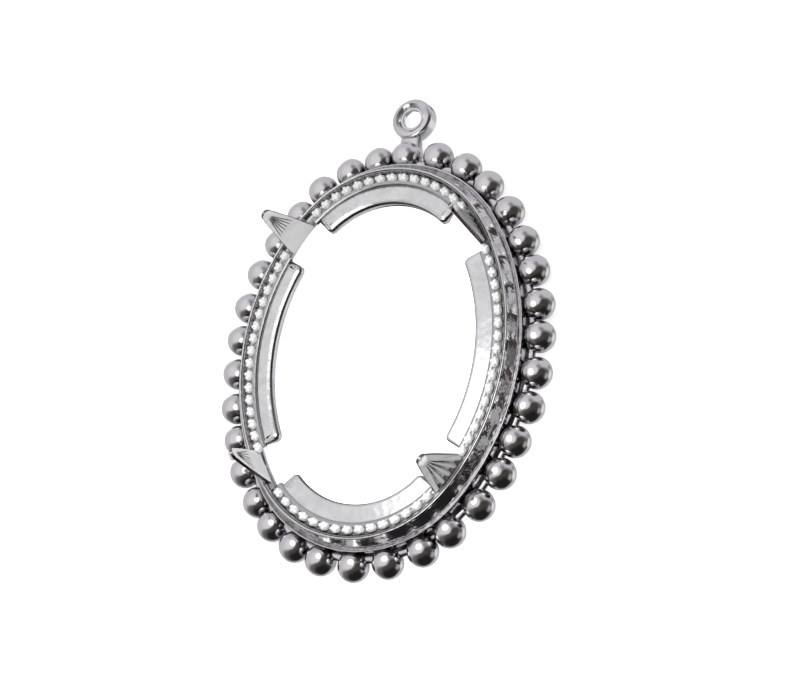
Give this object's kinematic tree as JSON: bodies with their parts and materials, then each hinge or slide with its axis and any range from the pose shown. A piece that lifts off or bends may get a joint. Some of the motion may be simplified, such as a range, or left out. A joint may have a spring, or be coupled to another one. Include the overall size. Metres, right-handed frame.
{
  "type": "pendant setting",
  "caption": "Oval open-backed pendant setting with a border of polished balls, a milgrain stone seat, ribbed triangular prongs and a hanging loop",
  "frame": {"origin": "under the middle of the whole piece, on the surface that it rests on, where the backs of the balls touch", "axes": "+X to the right as seen from the front, +Y toward the hanging loop, +Z out of the front, from the back toward the stone"},
  "size_m": [0.0434, 0.059, 0.012],
  "materials": {
    "bright_plate": "polished",
    "satin_plate": "satin"
  },
  "bodies": {
    "root": {"ball_frame": "bright_plate", "stone_seat": "satin_plate"}
  },
  "joints": []
}
